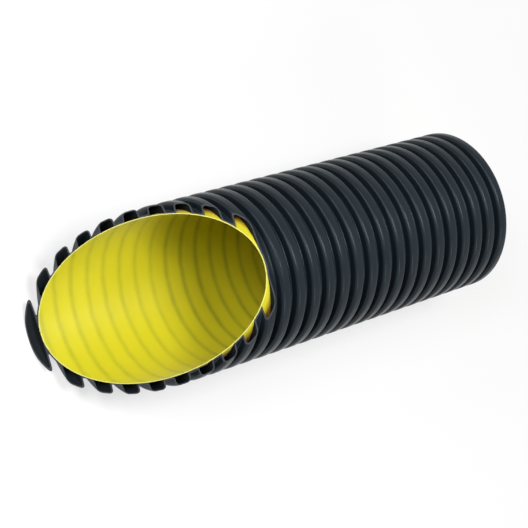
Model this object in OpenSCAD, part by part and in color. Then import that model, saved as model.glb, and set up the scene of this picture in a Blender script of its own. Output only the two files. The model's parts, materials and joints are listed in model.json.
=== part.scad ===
// Double-wall corrugated sewer pipe: a black ribbed outer wall welded over a smooth yellow liner.
//
// The outer wall is one revolved sheet. It runs flat on the liner between the ribs, climbs each
// flank, and turns over a rounded crown, so that every rib is a hollow ring. The two walls are cut
// off together: square in the middle of a valley at x = 0, and at a slant at the other end, which
// opens the hollow ribs that the saw crosses.
//
// Frame: the origin is on the pipe's axis in the plane of the square end, +X runs along the axis
// towards the slanted end, and +Z is up. The pipe lies as it comes to rest, with its longest side
// down and the short side of the slant up.

/* [Pipe] */
// Outside diameter over the rib crowns
outside_d = 200; // [192:1:250]
// Clear inside diameter of the liner
inside_d = 176; // [140:1:184]
// Length of the longest side, from the square end to the slanted cut in line with the rib crowns
long_side = 575.6; // [300:0.1:1000]
// Angle of the slanted end away from square to the axis, in degrees
slant = 47.5; // [0:0.5:55]

/* [Walls] */
// Thickness of the smooth liner
liner_wall = 1.1; // [0.8:0.1:2]
// Thickness of the corrugated outer wall
outer_wall = 1.2; // [0.8:0.1:1.8]

/* [Ribs] */
// Distance from one rib to the next
pitch = 21.5; // [18:0.5:30]
// Width of a rib's crown, measured between its flanks
crown_w = 13; // [10:0.1:15]
// Lean of each flank away from square to the axis, in degrees
flank_lean = 4; // [0:1:12]
// Radius over the edge of a crown
crown_r = 4.2; // [2:0.1:4.5]
// Radius in the corner between a flank and the valley floor
valley_r = 1.4; // [0.5:0.1:2]

/* [Hidden] */

// Round surfaces are drawn with this many sides
$fn = 180;

liner_in = inside_d / 2;
liner_out = liner_in + liner_wall;
crown_top = outside_d / 2;
valley_floor = liner_out + outer_wall;

// Where the slanted cut crosses the pipe's axis, and where it leaves the valley floor on the
// longest side
slant_x = long_side - crown_top * tan(slant);
valley_end = slant_x + valley_floor * tan(slant);

// Ribs whose near flank still stands on the valley floor there. The saw would cut the next one free.
rib_count = ceil((valley_end + half_width(valley_floor, 0)) / pitch - 0.5);

// Both walls are drawn with a plain stretch past the last rib before the slanted cut is made
drawn_length = (rib_count + 1) * pitch;

// Centre of the arc over a crown's edge, which the outside and the inside of the wall share
edge_at = crown_top - crown_r;
edge_half = half_width(edge_at, crown_r);

// Centre of the arc in the corner at a flank's foot
corner_at = valley_floor + valley_r;
corner_half = half_width(corner_at, -valley_r);

// Flats that each quarter turn of a crown's or a corner's arc is drawn with
arc_steps = 6;

// Room that the cutting block needs to clear the pipe whatever the slant
block = 2 * (drawn_length + outside_d);

// Half width of a rib at a radius, with its flanks moved in by depth
function half_width(radius, depth) =
    crown_w / 2 + (crown_top - radius) * tan(flank_lean) - depth / cos(flank_lean);

// Points along an arc in the section, where angle 0 points away from the pipe's axis and 90
// points along it
function arc(centre, radius, from, to) = [
    for (step = [0 : arc_steps])
        let (angle = from + (to - from) * step / arc_steps)
            centre + radius * [cos(angle), sin(angle)]
];

// Turns an outline of a rib's near half into the whole rib, about a middle at the distance x
function both_halves(near, x) = concat(
    [for (p = near) p + [0, x]],
    [for (i = [len(near) - 1 : -1 : 0]) [near[i][0], x - near[i][1]]]
);

// Outside of a rib's near half, from the valley floor to the crown
rib_outside = concat(
    arc([corner_at, -corner_half], valley_r, 180, 90 + flank_lean),
    arc([edge_at, -edge_half], crown_r, flank_lean - 90, 0)
);

// Inside of the same half, from the liner to the underside of the crown
rib_inside = concat(
    [[liner_out, -half_width(liner_out, outer_wall)]],
    arc([edge_at, -edge_half], crown_r - outer_wall, flank_lean - 90, 0)
);

function rib_middle(i) = (i + 0.5) * pitch;

// Half section of the corrugated wall, as [radius, distance along the axis]: up the outside from
// the square end, and back along the inside
module outer_section() {
    outside = [for (i = [0 : rib_count - 1]) each both_halves(rib_outside, rib_middle(i))];
    inside = [for (i = [0 : rib_count - 1]) each both_halves(rib_inside, rib_middle(i))];
    polygon(concat(
        [[liner_out, 0], [valley_floor, 0]],
        outside,
        [[valley_floor, drawn_length], [liner_out, drawn_length]],
        [for (i = [len(inside) - 1 : -1 : 0]) inside[i]]
    ));
}

// Everything past the slanted cut
module past_slant() {
    translate([slant_x, 0, 0])
        rotate([0, -slant, 0])
            translate([0, -block / 2, -block / 2])
                cube(block);
}

// Turns a half section about the pipe's axis and saws it off at the slant
module pipe_wall() {
    difference() {
        rotate([0, 90, 0]) rotate_extrude() children();
        past_slant();
    }
}

module corrugated_wall() {
    color([0.11, 0.12, 0.13]) pipe_wall() outer_section();
}

module smooth_liner() {
    color([0.88, 0.84, 0.13]) pipe_wall()
        translate([liner_in, 0]) square([liner_wall, drawn_length]);
}

corrugated_wall();
smooth_liner();
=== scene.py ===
"""Looks of the double-wall corrugated sewer pipe.

Both CAD walls are replaced by finer revolved meshes of the same section, sawn off on the same
slanted plane. The liner gains its welded rings, and both walls their sawn edges and their plastic.
"""

import json
import math
import random

import bmesh
import bpy
from mathutils import Euler, Matrix, Vector


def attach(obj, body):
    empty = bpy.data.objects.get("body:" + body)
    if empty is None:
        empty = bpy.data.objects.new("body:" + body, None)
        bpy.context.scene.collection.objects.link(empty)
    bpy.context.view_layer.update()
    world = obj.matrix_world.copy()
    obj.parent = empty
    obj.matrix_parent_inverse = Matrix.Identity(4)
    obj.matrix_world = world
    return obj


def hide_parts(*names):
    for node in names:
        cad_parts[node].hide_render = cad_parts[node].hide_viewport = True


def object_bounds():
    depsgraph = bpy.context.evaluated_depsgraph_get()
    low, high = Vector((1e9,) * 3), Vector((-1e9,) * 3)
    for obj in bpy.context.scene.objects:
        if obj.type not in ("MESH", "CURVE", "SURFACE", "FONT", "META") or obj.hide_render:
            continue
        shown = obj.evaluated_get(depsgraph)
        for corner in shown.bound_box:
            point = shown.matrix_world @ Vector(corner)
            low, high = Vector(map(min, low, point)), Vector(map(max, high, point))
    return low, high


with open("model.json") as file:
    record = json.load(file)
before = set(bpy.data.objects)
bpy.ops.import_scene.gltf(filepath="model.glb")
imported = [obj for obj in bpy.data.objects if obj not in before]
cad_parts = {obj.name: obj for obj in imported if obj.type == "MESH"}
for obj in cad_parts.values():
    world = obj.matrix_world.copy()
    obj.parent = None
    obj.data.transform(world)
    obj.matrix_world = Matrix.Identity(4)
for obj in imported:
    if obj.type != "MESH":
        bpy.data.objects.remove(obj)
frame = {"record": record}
cad_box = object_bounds()

MM = 0.001

# ---------------------------------------------------------------- sizes, in millimetres
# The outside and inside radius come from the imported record; the rest repeats the part's own values.
mounts = {m["name"]: m["dims"] for m in frame["record"]["mounts"]}
CROWN_TOP = mounts["first_crown"]["r_mm"]
LINER_IN = mounts["bore"]["r_mm"]
LINER_WALL = 1.1
OUTER_WALL = 1.2
LINER_OUT = LINER_IN + LINER_WALL
VALLEY_FLOOR = LINER_OUT + OUTER_WALL
PITCH = 21.5
CROWN_W = 13.0
CROWN_R = 4.2
VALLEY_R = 1.4
LEAN = math.radians(4)
SLANT = math.radians(47.5)
LONG_SIDE = 575.6
SLANT_X = LONG_SIDE - CROWN_TOP * math.tan(SLANT)
VALLEY_END = SLANT_X + VALLEY_FLOOR * math.tan(SLANT)

# ---------------------------------------------------------------- the saw
# The slanted plane's direction, the end of the last rib that it only grazes, and how far its marks
# stand out of the plane, in millimetres
SAW_NORMAL = Vector((math.cos(SLANT), 0, math.sin(SLANT)))
GRAZED_END = math.ceil((SLANT_X - CROWN_TOP * math.tan(SLANT)) / PITCH) * PITCH
SAW_MARKS = 0.12
# In metres: a point this near to the plane counts as on it, and a face whose corners all lie this
# near to x = 0 is part of the square end
ON_PLANE = 1e-7
END_FLAT = 1e-6

# ---------------------------------------------------------------- how fine the meshes are
# Sides round the pipe, and steps in the arcs of a rib
WALL_SIDES = 104
LINER_SIDES = 180
CROWN_STEPS = 7
VALLEY_STEPS = 4
HOLLOW_STEPS = 4
# Edges that turn by more than this many degrees stay sharp
SHARP_EDGE = 38
# The seeds of each wall's random draws
WALL_SEED = 3
LINER_SEED = 7

# ---------------------------------------------------------------- the material slots of each wall
SKIN_SLOT = 0
SAWN_SLOT = 1
HOLLOW_SLOT = 2

# ---------------------------------------------------------------- the camera
# Where it stands and the point it looks at, in metres, its turn about that line in degrees, its
# lens and sensor in millimetres, and the nearest distance that it shows, in metres
CAMERA_AT = (1.26, 0.052, 1.354)
CAMERA_TARGET = (0.3083, -0.0012, 0.0)
CAMERA_ROLL = 69.42
CAMERA_LENS = 97.06
CAMERA_SENSOR = 36
CAMERA_NEAR = 0.01


# ---------------------------------------------------------------- mesh helpers
def half_width(radius, depth):
    """Half width of a rib at a radius, with its flanks moved in by depth."""
    return CROWN_W / 2 + (CROWN_TOP - radius) * math.tan(LEAN) - depth / math.cos(LEAN)


# Ribs that the saw leaves standing, and the pitches that are drawn before the slanted cut
RIBS = math.ceil((VALLEY_END + half_width(VALLEY_FLOOR, 0)) / PITCH - 0.5)
PITCHES = RIBS + 1
DRAWN_LENGTH = PITCHES * PITCH


def arc(centre, radius, start, end, steps):
    """Points [radius, along the axis] on an arc, where angle 0 points away from the pipe's axis."""
    out = []
    for i in range(steps + 1):
        a = start + (end - start) * i / steps
        out.append((centre[0] + radius * math.cos(a), centre[1] + radius * math.sin(a)))
    return out


def both_halves(near, middle):
    """A rib's whole outline from its near half, in order along the axis."""
    first = [(r, middle + x) for r, x in near]
    second = [(r, middle - x) for r, x in reversed(near)]
    return first + second


def revolve(loop, sides, shift=None, seam=None, hidden_from=None):
    """A closed section turned about the X axis.

    shift(i, angle) moves ring i along the axis, in mm, and seam[i] is stored on ring i's points.
    From ring hidden_from on, the faces are the wall's underside, in the ribs' hollows.
    """
    bm = bmesh.new()
    layer = bm.verts.layers.float.new("seam") if seam else None
    rings = []
    for i, (radius, x) in enumerate(loop):
        ring = []
        for k in range(sides):
            a = 2 * math.pi * k / sides
            move = shift(i, a) if shift else 0.0
            co = ((x + move) * MM, radius * MM * math.sin(a), radius * MM * math.cos(a))
            vert = bm.verts.new(co)
            if seam:
                vert[layer] = seam[i]
            ring.append(vert)
        rings.append(ring)
    for i in range(len(rings)):
        here, there = rings[i], rings[(i + 1) % len(rings)]
        for k in range(sides):
            n = (k + 1) % sides
            face = bm.faces.new((here[k], here[n], there[n], there[k]))
            if hidden_from is not None and i >= hidden_from:
                face.material_index = HOLLOW_SLOT
    bm.normal_update()
    return bm


def saw_off(bm, rng):
    """Cuts the mesh on the slanted plane and closes the cut with sawn faces.

    Where the saw only grazes a crown, at the top of the cut, the face keeps the skin's material
    and stays smooth.
    """
    cut = bmesh.ops.bisect_plane(
        bm,
        geom=bm.verts[:] + bm.edges[:] + bm.faces[:],
        dist=ON_PLANE,
        plane_co=Vector((SLANT_X * MM, 0, 0)),
        plane_no=SAW_NORMAL,
        clear_outer=True,
    )
    rim = [e for e in cut["geom_cut"] if isinstance(e, bmesh.types.BMEdge)]
    filled = bmesh.ops.triangle_fill(
        bm, use_beauty=True, use_dissolve=False, edges=rim, normal=SAW_NORMAL
    )
    for face in filled["geom"]:
        if isinstance(face, bmesh.types.BMFace):
            grazed = face.calc_center_median().x <= GRAZED_END * MM
            face.material_index = SKIN_SLOT if grazed else SAWN_SLOT
    # a dict keeps the points' order, so that each run draws the same marks
    for vert in dict.fromkeys(v for e in rim for v in e.verts):
        if vert.co.x > GRAZED_END * MM:
            vert.co += SAW_NORMAL * rng.uniform(-1, 1) * SAW_MARKS * MM


def place(name, data):
    """Puts a mesh, a lamp or a camera in the scene as an object."""
    obj = bpy.data.objects.new(name, data)
    bpy.context.scene.collection.objects.link(obj)
    return obj


def finish_mesh(bm, name):
    """Makes the object, shaded smooth with sharp edges at the sawn faces.

    The square end is sawn too, so its faces get the sawn material as well.
    """
    bmesh.ops.recalc_face_normals(bm, faces=bm.faces)
    for face in bm.faces:
        if max(abs(v.co.x) for v in face.verts) < END_FLAT:
            face.material_index = SAWN_SLOT
    mesh = bpy.data.meshes.new(name)
    bm.to_mesh(mesh)
    bm.free()
    mesh.polygons.foreach_set("use_smooth", [True] * len(mesh.polygons))
    mesh.set_sharp_from_angle(angle=math.radians(SHARP_EDGE))
    return place(name, mesh)


# ---------------------------------------------------------------- the corrugated wall
def build_wall():
    # the centres of the two roundings of a rib's near half, seen from the rib's middle
    crown = (CROWN_TOP - CROWN_R, -half_width(CROWN_TOP - CROWN_R, CROWN_R))
    valley = (VALLEY_FLOOR + VALLEY_R, -half_width(VALLEY_FLOOR + VALLEY_R, -VALLEY_R))
    quarter = math.pi / 2
    near_outside = arc(valley, VALLEY_R, 2 * quarter, quarter + LEAN, VALLEY_STEPS)
    near_outside += arc(crown, CROWN_R, LEAN - quarter, 0, CROWN_STEPS)
    near_inside = [(LINER_OUT, -half_width(LINER_OUT, OUTER_WALL))]
    near_inside += arc(crown, CROWN_R - OUTER_WALL, LEAN - quarter, 0, HOLLOW_STEPS)
    outside, inside = [], []
    for i in range(RIBS):
        middle = (i + 0.5) * PITCH
        outside += both_halves(near_outside, middle)
        inside += both_halves(near_inside, middle)
    loop = [(LINER_OUT, 0), (VALLEY_FLOOR, 0)]
    loop += outside
    loop += [(VALLEY_FLOOR, DRAWN_LENGTH), (LINER_OUT, DRAWN_LENGTH)]
    hidden_from = len(loop) - 1
    loop += reversed(inside)
    bm = revolve(loop, WALL_SIDES, hidden_from=hidden_from)
    saw_off(bm, random.Random(WALL_SEED))
    return finish_mesh(bm, "corrugated_wall_shell")


# ---------------------------------------------------------------- the liner and its welded rings
# Where a welded ring has its points, to either side of its middle, how deep it lies and how far it
# spreads, in millimetres
SEAM_OFFSETS = (-5.6, -4.2, -3.1, -2.1, -1.1, 0.0, 1.1, 2.1, 3.1, 4.2, 5.6)
SEAM_DEPTH = 0.2
SEAM_WIDTH = 3.2
# How far the inside bows outward between two rings, in millimetres, and where the bow has its
# points, as shares of the pitch
BOW_DEPTH = 0.25
BOW_PLACES = (0.38, 0.5, 0.62)
# How strongly a welded ring shows deep in the bore and near the slanted end, how much one differs
# from another, and between which distances from the square end it changes, in pitches
RING_DEEP = 1.05
RING_NEAR = 0.62
RING_SPREAD = 0.12
RING_CHANGE = (17.5, 19.0)
# A ring wanders sideways in this many waves round the pipe. The first few are long and of one
# size, in millimetres; the others are strongest about one wave number and fade to both sides.
WAVES = 39
LONG_WAVES = 8
LONG_WAVE = 0.05
SHORT_WAVE = 0.06
SHORT_MIDDLE = 17
SHORT_SPREAD = 12


def ring_strength(pitches, rng):
    """How strongly the ring at this many pitches from the square end shows."""
    share = (pitches - RING_CHANGE[0]) / (RING_CHANGE[1] - RING_CHANGE[0])
    even = RING_DEEP + (RING_NEAR - RING_DEEP) * min(1, max(0, share))
    return even * rng.uniform(1 - RING_SPREAD, 1 + RING_SPREAD)


def wavy_line(rng):
    """A ring's sideways wander round the pipe, as a function of angle, in mm."""
    waves = []
    for m in range(1, WAVES + 1):
        size = LONG_WAVE
        if m > LONG_WAVES:
            size = SHORT_WAVE * math.exp(-(((m - SHORT_MIDDLE) / SHORT_SPREAD) ** 2))
        waves.append((m, size * rng.gauss(0, 1), rng.uniform(0, 2 * math.pi)))

    def at(angle):
        return sum(s * math.cos(m * angle + p) for m, s, p in waves)

    return at


def build_liner():
    rng = random.Random(LINER_SEED)
    loop, wander, seam = [], [], []

    def add(radius, x, line=None, strength=0.0):
        loop.append((radius, x))
        wander.append(line)
        seam.append(strength)

    # inside, from the square end to the slanted end
    for k in range(PITCHES):
        for part in BOW_PLACES:
            bow = math.sin(math.pi * part) ** 2
            add(LINER_IN + BOW_DEPTH * bow, (k + part) * PITCH)
        line = wavy_line(rng)
        strength = ring_strength(k + 1, rng)
        # no ring is drawn at the very end, where the saw takes everything off
        for d in SEAM_OFFSETS if k < PITCHES - 1 else ():
            pull = math.exp(-((d / SEAM_WIDTH) ** 2))
            bow = math.sin(math.pi * d / PITCH) ** 2
            radius = LINER_IN + SEAM_DEPTH * pull + BOW_DEPTH * bow
            add(radius, (k + 1) * PITCH + d, line, pull * strength)
    add(LINER_IN, DRAWN_LENGTH)
    # outside, back again, with a ring of points at every half pitch
    for k in range(2 * PITCHES, -1, -1):
        add(LINER_OUT, k * PITCH / 2)
    add(LINER_IN, 0)

    def shift(i, angle):
        return wander[i](angle) if wander[i] else 0.0

    bm = revolve(loop, LINER_SIDES, shift, seam)
    saw_off(bm, rng)
    return finish_mesh(bm, "smooth_liner_shell")


# ---------------------------------------------------------------- colours, in linear light
# A pair is the two colours that a surface varies between
BLACK_SKIN = ((0.0075, 0.012, 0.0165), (0.0125, 0.019, 0.025))
BLACK_SAWN = ((0.018, 0.022, 0.028), (0.055, 0.062, 0.074))
# Painted shade: the skin inside the ribs is darker than the outside skin
BLACK_HOLLOW_PAINTED_SHADE = ((0.004, 0.006, 0.008), (0.008, 0.011, 0.014))
YELLOW_SKIN = ((0.625, 0.566, 0.014), (0.685, 0.621, 0.024))
YELLOW_SAWN = ((0.68, 0.66, 0.10), (0.80, 0.78, 0.28))
YELLOW_RING = (0.215, 0.24, 0.022)
# Painted light: a brighter, warmer yellow on the liner's outside, which shows in the opened ribs
YELLOW_OUTSIDE_PAINTED_LIGHT = (0.74, 0.66, 0.025)
# Painted shade: an orange-brown that the liner's outside takes on deeper behind the saw cut, in the
# opened ribs
YELLOW_PAINTED_SHADE = (0.60, 0.27, 0.02)
PALE = ((0.79, 0.79, 0.79), (0.81, 0.81, 0.81))
WHITE = (1.0, 1.0, 1.0)
# The black skin's highlights are a little blue
HIGHLIGHT_TINT = (0.84, 0.96, 1)
# How much of the ring's colour the middle of a ring of strength 1 takes on
RING_COLOR_SHARE = 0.55

# ---------------------------------------------------------------- places in the materials
# In millimetres: how far under its nominal radius the liner's outside still counts as such, and
# how far behind the saw cut the painted shade in the opened ribs begins, and where it is full
OUTSIDE_MARGIN = 0.3
PAINTED_SHADE_BEGINS = 4
PAINTED_SHADE_FULL = 12
# The scale of the saw strokes' noise along each axis: they are narrow across the pipe and run down
# the cut
STROKES = (60, 900, 60)


# ---------------------------------------------------------------- materials
class Nodes:
    """A short way to write the nodes of a material or a world."""

    # the Mix node's two colours and its colour result
    MIX_A = 6
    MIX_B = 7
    MIX_RESULT = 2
    # what nearly all values of a noise lie between
    NOISE_RANGE = (0.3, 0.7)

    def __init__(self, owner, output):
        owner.use_nodes = True
        self.owner = owner
        self.tree = owner.node_tree
        self.tree.nodes.clear()
        self.out = self.add(output)

    def add(self, kind, **values):
        """A new node. A value is an input if the node has one of that name, else a setting."""
        node = self.tree.nodes.new("ShaderNode" + kind)
        for key, value in values.items():
            if key in node.inputs:
                self.put(node.inputs[key], value)
            else:
                setattr(node, key, value)
        return node

    def put(self, socket, value):
        """Links a socket to the input, or sets the input's own value."""
        if isinstance(value, bpy.types.NodeSocket):
            self.tree.links.new(value, socket)
        elif socket.type == "RGBA":
            socket.default_value = (*value, 1)
        else:
            socket.default_value = value

    def where(self):
        return self.add("TexCoord").outputs["Object"]

    def stretched(self, vector, scale):
        return self.add("Mapping", Vector=vector, Scale=scale).outputs["Vector"]

    def noise(self, vector, scale, detail=3.0, rough=0.5):
        node = self.add("TexNoise", Vector=vector, Scale=scale, Detail=detail, Roughness=rough)
        return node.outputs["Fac"]

    def spread(self, value, low, high, to_low, to_high):
        """The value, carried from the range low to high to the range to_low to to_high."""
        node = self.add("MapRange", Value=value)
        ends = {"From Min": low, "From Max": high, "To Min": to_low, "To Max": to_high}
        for key, number in ends.items():
            self.put(node.inputs[key], number)
        return node.outputs["Result"]

    def varied(self, noise, low, high):
        """A noise that varies between low and high."""
        return self.spread(noise, *self.NOISE_RANGE, low, high)

    def math(self, operation, a, b):
        node = self.add("Math", operation=operation)
        self.put(node.inputs[0], a)
        self.put(node.inputs[1], b)
        return node.outputs[0]

    def vector(self, operation, a, b=None):
        """A vector operation. DOT_PRODUCT, DISTANCE and LENGTH give a number."""
        node = self.add("VectorMath", operation=operation)
        self.put(node.inputs[0], a)
        if b is not None:
            self.put(node.inputs[1], b)
        number = operation in ("DOT_PRODUCT", "DISTANCE", "LENGTH")
        return node.outputs["Value" if number else "Vector"]

    def mix(self, factor, a, b):
        node = self.add("Mix", data_type="RGBA", Factor=factor)
        self.put(node.inputs[self.MIX_A], a)
        self.put(node.inputs[self.MIX_B], b)
        return node.outputs[self.MIX_RESULT]

    def bump(self, height, distance, strength, normal=None):
        node = self.add("Bump", Height=height, Distance=distance, Strength=strength)
        if normal is not None:
            self.put(node.inputs["Normal"], normal)
        return node.outputs["Normal"]

    def plastic(self, color, roughness, normal=None, **sockets):
        """The plastic's shader. An underscore in a socket's name stands for a blank."""
        node = self.add("BsdfPrincipled", Roughness=roughness)
        self.put(node.inputs["Base Color"], color)
        if normal is not None:
            self.put(node.inputs["Normal"], normal)
        for key, value in sockets.items():
            self.put(node.inputs[key.replace("_", " ")], value)
        return node.outputs[0]

    def blend(self, share, a, b):
        """Two shaders, with b taking up the given share."""
        node = self.add("MixShader")
        self.put(node.inputs[0], share)
        self.put(node.inputs[1], a)
        self.put(node.inputs[2], b)
        return node.outputs[0]

    def seen_directly(self):
        """1 where it is seen, be it mirrored or through something, and 0 where it gives light."""
        rays = self.add("LightPath").outputs
        seen = self.math("MAXIMUM", rays["Is Camera Ray"], rays["Is Transmission Ray"])
        return self.math("MAXIMUM", seen, rays["Is Glossy Ray"])

    def surface(self, shader):
        """Makes the shader the surface's and returns what it belongs to."""
        self.put(self.out.inputs["Surface"], shader)
        return self.owner


def material(name):
    return Nodes(bpy.data.materials.new(name), "OutputMaterial")


def black_plastic():
    n = material("outer_black_plastic")
    where = n.where()
    blotch = n.noise(where, scale=26, detail=4, rough=0.6)
    grain = n.noise(where, scale=900, detail=2)
    flow = n.noise(n.stretched(where, (260, 30, 30)), scale=1, rough=0.6)
    color = n.mix(blotch, *BLACK_SKIN)
    worn = n.math("ADD", n.math("MULTIPLY", blotch, 0.5), n.math("MULTIPLY", flow, 0.5))
    rough = n.varied(worn, 0.24, 0.36)
    normal = n.bump(flow, distance=0.0006, strength=0.10)
    normal = n.bump(grain, distance=0.0001, strength=0.12, normal=normal)
    shader = n.plastic(color, rough, normal, Specular_IOR_Level=0.17, Specular_Tint=HIGHLIGHT_TINT)
    return n.surface(shader)


def black_cut():
    n = material("outer_black_sawn")
    strokes = n.noise(n.stretched(n.where(), STROKES), scale=1, detail=2)
    color = n.mix(strokes, *BLACK_SAWN)
    rough = n.varied(strokes, 0.45, 0.62)
    normal = n.bump(strokes, distance=0.0003, strength=0.35)
    return n.surface(n.plastic(color, rough, normal, Specular_IOR_Level=0.25))


def black_hollow():
    """The skin inside the ribs, which no mould has touched: duller than the outside, and darker in
    colour, which is painted shade.
    """
    n = material("outer_black_hollow")
    where = n.where()
    blotch = n.noise(where, scale=40, rough=0.6)
    color = n.mix(blotch, *BLACK_HOLLOW_PAINTED_SHADE)
    rough = n.varied(blotch, 0.6, 0.75)
    normal = n.bump(n.noise(where, scale=500, rough=0.6), distance=0.0002, strength=0.3)
    return n.surface(n.plastic(color, rough, normal, Specular_IOR_Level=0.12))


def ribs_inside(n, where):
    """Whether a point is on the liner's outside, and its share of painted shade there, which grows
    behind the cut.
    """
    radius = n.vector("LENGTH", n.vector("MULTIPLY", where, (0, 1, 1)))
    outside = n.math("GREATER_THAN", radius, (LINER_OUT - OUTSIDE_MARGIN) * MM)
    along = n.vector("DOT_PRODUCT", where, SAW_NORMAL)
    at_saw = SLANT_X * math.cos(SLANT)
    painted_shade = n.spread(along, (at_saw - PAINTED_SHADE_BEGINS) * MM, (at_saw - PAINTED_SHADE_FULL) * MM, 0.0, 1.0)
    return outside, n.math("MULTIPLY", outside, painted_shade)


def yellow_plastic():
    n = material("liner_yellow_plastic")
    where = n.where()
    seam = n.add("Attribute", attribute_name="seam").outputs["Fac"]
    blotch = n.noise(where, scale=18, rough=0.6)
    fine = n.noise(n.stretched(where, (320, 40, 40)), scale=1, rough=0.6)
    broken = n.spread(n.noise(where, scale=60, rough=0.6), 0.35, 0.65, 0.7, 1.0)
    line = n.math("MULTIPLY", seam, broken)
    color = n.mix(blotch, *YELLOW_SKIN)
    color = n.mix(n.math("MULTIPLY", line, RING_COLOR_SHARE), color, YELLOW_RING)
    outside, painted_shade = ribs_inside(n, where)
    # painted light: a brighter, warmer yellow on the liner's outside
    color = n.mix(outside, color, YELLOW_OUTSIDE_PAINTED_LIGHT)
    # painted shade: orange-brown deeper behind the cut, in the opened ribs
    color = n.mix(painted_shade, color, YELLOW_PAINTED_SHADE)
    rough = n.varied(fine, 0.36, 0.46)
    normal = n.bump(fine, distance=0.0005, strength=0.08)
    gloss = {"Specular_IOR_Level": 0.25, "Sheen_Weight": 0.12, "Sheen_Roughness": 0.45}
    return n.surface(n.plastic(color, rough, normal, **gloss))


def yellow_cut():
    n = material("liner_yellow_sawn")
    strokes = n.noise(n.stretched(n.where(), STROKES), scale=1, detail=2)
    color = n.mix(strokes, *YELLOW_SAWN)
    normal = n.bump(strokes, distance=0.0003, strength=0.3)
    return n.surface(n.plastic(color, 0.55, normal, Specular_IOR_Level=0.25))


# ---------------------------------------------------------------- the object
# The materials stand in the order of the slots
wall = build_wall()
wall.data.materials.append(black_plastic())
wall.data.materials.append(black_cut())
wall.data.materials.append(black_hollow())
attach(wall, "root")
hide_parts("corrugated_wall")

liner = build_liner()
liner.data.materials.append(yellow_plastic())
liner.data.materials.append(yellow_cut())
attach(liner, "root")
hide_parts("smooth_liner")


# ---------------------------------------------------------------- floor, light and camera
PIPE_MIDDLE = Vector(((cad_box[0].x + cad_box[1].x) / 2, 0, 0))
FLOOR_HALF = 6.0
# Share of plain white in the floor as the camera sees it; the rest is lit and carries the shadow.
# The share grows to all of it between two distances from the pipe's middle, in metres.
FLOOR_WHITE = 0.62
FLOOR_FADE = (0.4, 1.0)
# How brightly the surroundings light the object
WORLD = 0.04
SOFTBOX_SIZE = 0.7
SOFTBOX_DISTANCE = 1.9
# Where each softbox stands, seen from the pipe's middle: azimuth from +X towards +Y and elevation,
# in degrees, and its power in watts
SOFTBOXES = {
    "overhead": (0, 90, 23.0),
    "front": (-22, 50, 12.5),
    "front_low": (-40, 25, 8.5),
    "side_low": (90, 35, 7.3),
    "back": (144, 72, 3.0),
}


def floor_material():
    n = material("floor_pale")
    where = n.where()
    seen = n.seen_directly()
    pale = n.mix(n.noise(where, scale=3, detail=2), *PALE)
    lit = n.plastic(n.mix(seen, pale, WHITE), 0.9, Specular_IOR_Level=0.0)
    white = n.add("Emission", Color=WHITE, Strength=1.0).outputs[0]
    away = n.vector("DISTANCE", where, PIPE_MIDDLE)
    share = n.spread(away, *FLOOR_FADE, FLOOR_WHITE, 1.0)
    return n.surface(n.blend(n.math("MULTIPLY", seen, share), lit, white))


def build_floor(z):
    size = FLOOR_HALF
    mesh = bpy.data.meshes.new("floor")
    corners = [(-size, -size, z), (size, -size, z), (size, size, z), (-size, size, z)]
    mesh.from_pydata(corners, [], [(0, 1, 2, 3)])
    mesh.materials.append(floor_material())
    floor = place("floor", mesh)


def build_world():
    """A dim surround that looks plain white where it is seen directly."""
    n = Nodes(bpy.data.worlds.new("studio"), "OutputWorld")
    dim = n.add("Background", Color=WHITE, Strength=WORLD).outputs[0]
    white = n.add("Background", Color=WHITE, Strength=1.0).outputs[0]
    bpy.context.scene.world = n.surface(n.blend(n.seen_directly(), dim, white))


def softbox(name, azimuth, elevation, power):
    """A square softbox in the given direction from the pipe's middle, facing it."""
    lamp = bpy.data.lights.new(f"softbox_{name}", "AREA")
    lamp.size = SOFTBOX_SIZE
    lamp.energy = power
    obj = place(lamp.name, lamp)
    rise = math.radians(elevation)
    direction = Vector((math.cos(rise), 0, math.sin(rise)))
    direction.rotate(Euler((0, 0, math.radians(azimuth))))
    obj.location = PIPE_MIDDLE + direction * SOFTBOX_DISTANCE
    obj.rotation_euler = (-direction).to_track_quat("-Z", "Y").to_euler()


def build_camera():
    data = bpy.data.cameras.new("camera")
    data.lens = CAMERA_LENS
    data.sensor_width = CAMERA_SENSOR
    data.clip_start = CAMERA_NEAR
    camera = place("camera", data)
    toward = Vector(CAMERA_TARGET) - Vector(CAMERA_AT)
    level = toward.to_track_quat("-Z", "Y").to_matrix().to_4x4()
    roll = Matrix.Rotation(math.radians(CAMERA_ROLL), 4, "Z")
    camera.matrix_world = Matrix.Translation(CAMERA_AT) @ level @ roll
    bpy.context.scene.camera = camera


build_floor(cad_box[0].z)
build_world()
for box, place_and_power in SOFTBOXES.items():
    softbox(box, *place_and_power)
build_camera()

bpy.context.scene.view_settings.view_transform = "Standard"
